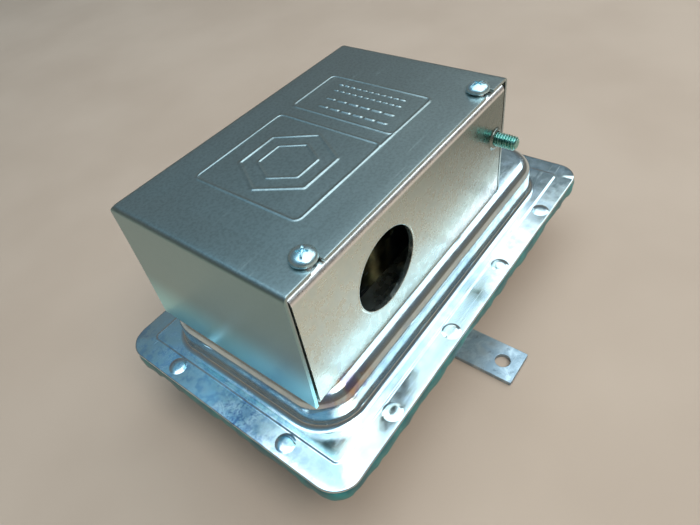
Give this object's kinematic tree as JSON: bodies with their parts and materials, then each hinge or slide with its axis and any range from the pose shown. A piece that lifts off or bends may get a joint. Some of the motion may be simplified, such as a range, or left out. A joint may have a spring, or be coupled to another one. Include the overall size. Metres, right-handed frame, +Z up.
{
  "type": "electrical junction box",
  "caption": "Diaphragm air-pressure switch under a bent-sheet electrical junction cover, with a conduit hole, ground screw, sample ports and mounting strap.",
  "frame": {"origin": "middle of the mounting strap's underside, half way between its two holes", "axes": "+X along the long side towards the exposed end of the pan, +Y away from the conduit hole, +Z up"},
  "size_m": [0.1492, 0.11, 0.081],
  "materials": {
    "zinc_bright": "bright zinc plating with a faint blue-green cast",
    "zinc_satin": "satin zinc-plated sheet with fine rolling grain",
    "galvanized": "dull galvanized strip",
    "green_zinc": "green-dyed zinc, glossy",
    "green_rubber": "matte sheet rubber",
    "brass": "turned brass",
    "spring_steel": "bright wire and leaf",
    "phenolic": "moulded black phenolic",
    "nylon": "moulded red nylon",
    "fish_paper": "insulating sheet"
  },
  "bodies": {
    "housing": {"upper_pan": "zinc_bright", "lower_pan": "zinc_bright", "front_plate": "zinc_bright", "front_plate_rivet_1": "zinc_bright", "front_plate_rivet_2": "zinc_bright", "front_plate_rivet_3": "zinc_bright", "switch_screw_1": "zinc_bright", "switch_screw_2": "zinc_bright", "upper_port_body": "zinc_bright", "lower_port_body": "zinc_bright", "flange_rivet_01": "zinc_bright", "flange_rivet_02": "zinc_bright", "flange_rivet_03": "zinc_bright", "flange_rivet_04": "zinc_bright", "flange_rivet_05": "zinc_bright", "flange_rivet_06": "zinc_bright", "flange_rivet_07": "zinc_bright", "flange_rivet_08": "zinc_bright", "flange_rivet_09": "zinc_bright", "flange_rivet_10": "zinc_bright", "flange_rivet_11": "zinc_bright", "flange_rivet_12": "zinc_bright", "switch_bracket": "zinc_satin", "switch_bracket_rivet_1": "zinc_satin", "switch_bracket_rivet_2": "zinc_satin", "mount_strap": "galvanized", "strap_rivet_1": "galvanized", "strap_rivet_2": "galvanized", "edge_gasket": "green_rubber", "diaphragm": "green_rubber", "pin_guide": "brass", "spring_tube": "brass", "terminal_com": "brass", "terminal_no": "brass", "terminal_nc": "brass", "upper_port_ferrule": "brass", "lower_port_ferrule": "brass", "calibration_spring": "spring_steel", "lever_pin": "spring_steel", "switch_body": "phenolic", "insulator": "fish_paper"},
    "cover": {"cover": "zinc_satin"},
    "cover_screw_near": {"cover_screw_near": "zinc_bright"},
    "cover_screw_far": {"cover_screw_far": "zinc_bright"},
    "ground_screw": {"ground_screw": "green_zinc"},
    "diaphragm_stack": {"upper_backing_plate": "zinc_satin", "lower_backing_plate": "zinc_satin", "center_rivet": "zinc_satin", "actuator_pin": "brass"},
    "switch_lever": {"switch_lever": "spring_steel"},
    "switch_plunger": {"switch_plunger": "nylon"},
    "spring_seat": {"spring_seat": "brass"},
    "adjusting_screw": {"adjusting_screw": "brass"},
    "terminal_screw_com": {"terminal_screw_com": "brass"},
    "terminal_screw_no": {"terminal_screw_no": "brass"},
    "terminal_screw_nc": {"terminal_screw_nc": "brass"},
    "upper_port_nut": {"upper_port_nut": "brass"},
    "lower_port_nut": {"lower_port_nut": "brass"}
  },
  "joints": [
    {"name": "cover_slide", "type": "slide", "parent": "housing", "child": "cover", "axis": [0, 1, 0], "range_m": [0, 0.075]},
    {"name": "cover_screw_near_turn", "type": "hinge", "parent": "housing", "child": "cover_screw_near", "pos_m": [-0.0481, -0.0248, 0.08], "axis": [0, 0, 1], "continuous": true},
    {"name": "cover_screw_far_turn", "type": "hinge", "parent": "housing", "child": "cover_screw_far", "pos_m": [0.0235, -0.0248, 0.08], "axis": [0, 0, 1], "continuous": true},
    {"name": "ground_screw_turn", "type": "hinge", "parent": "housing", "child": "ground_screw", "pos_m": [0.0276, -0.028, 0.0626], "axis": [0, 1, 0], "continuous": true},
    {"name": "diaphragm_lift", "type": "slide", "parent": "housing", "child": "diaphragm_stack", "axis": [0, 0, 1], "range_m": [0, 0.0015], "stiffness_N_per_m": 300, "springref_m": -0.002, "deforming": ["calibration_spring", "diaphragm"]},
    {"name": "lever_swing", "type": "hinge", "parent": "housing", "child": "switch_lever", "pos_m": [-0.0436, 0.0172, 0.0487], "axis": [0, -1, 0], "range_deg": [0, 2.9]},
    {"name": "plunger_travel", "type": "slide", "parent": "housing", "child": "switch_plunger", "axis": [0, 0, 1], "range_m": [0, 0.00068]},
    {"name": "seat_travel", "type": "slide", "parent": "housing", "child": "spring_seat", "axis": [0, 0, 1], "range_m": [-0.0021, 0.0031], "deforming": ["calibration_spring"]},
    {"name": "adjusting_screw_turn", "type": "hinge", "parent": "spring_seat", "child": "adjusting_screw", "pos_m": [0, 0, 0.054], "axis": [0, 0, 1], "range_deg": [-720, 1080]},
    {"name": "terminal_screw_com_turn", "type": "hinge", "parent": "housing", "child": "terminal_screw_com", "pos_m": [-0.039, 0.0172, 0.072], "axis": [0, 0, 1], "continuous": true},
    {"name": "terminal_screw_no_turn", "type": "hinge", "parent": "housing", "child": "terminal_screw_no", "pos_m": [-0.0215, 0.0172, 0.072], "axis": [0, 0, 1], "continuous": true},
    {"name": "terminal_screw_nc_turn", "type": "hinge", "parent": "housing", "child": "terminal_screw_nc", "pos_m": [-0.004, 0.0172, 0.072], "axis": [0, 0, 1], "continuous": true},
    {"name": "upper_port_nut_turn", "type": "hinge", "parent": "housing", "child": "upper_port_nut", "pos_m": [0.047, 0, 0.05], "axis": [0, 0, 1], "continuous": true},
    {"name": "lower_port_nut_turn", "type": "hinge", "parent": "housing", "child": "lower_port_nut", "pos_m": [0.07, 0.012, 0.0128], "axis": [1, 0, 0], "continuous": true}
  ],
  "couplings": [
    {"joint": "lever_swing", "follows": "diaphragm_lift", "rad_per_m": 32.68},
    {"joint": "plunger_travel", "follows": "diaphragm_lift", "ratio": 0.4444},
    {"joint": "seat_travel", "follows": "adjusting_screw_turn", "m_per_rad": 0.00015915}
  ]
}
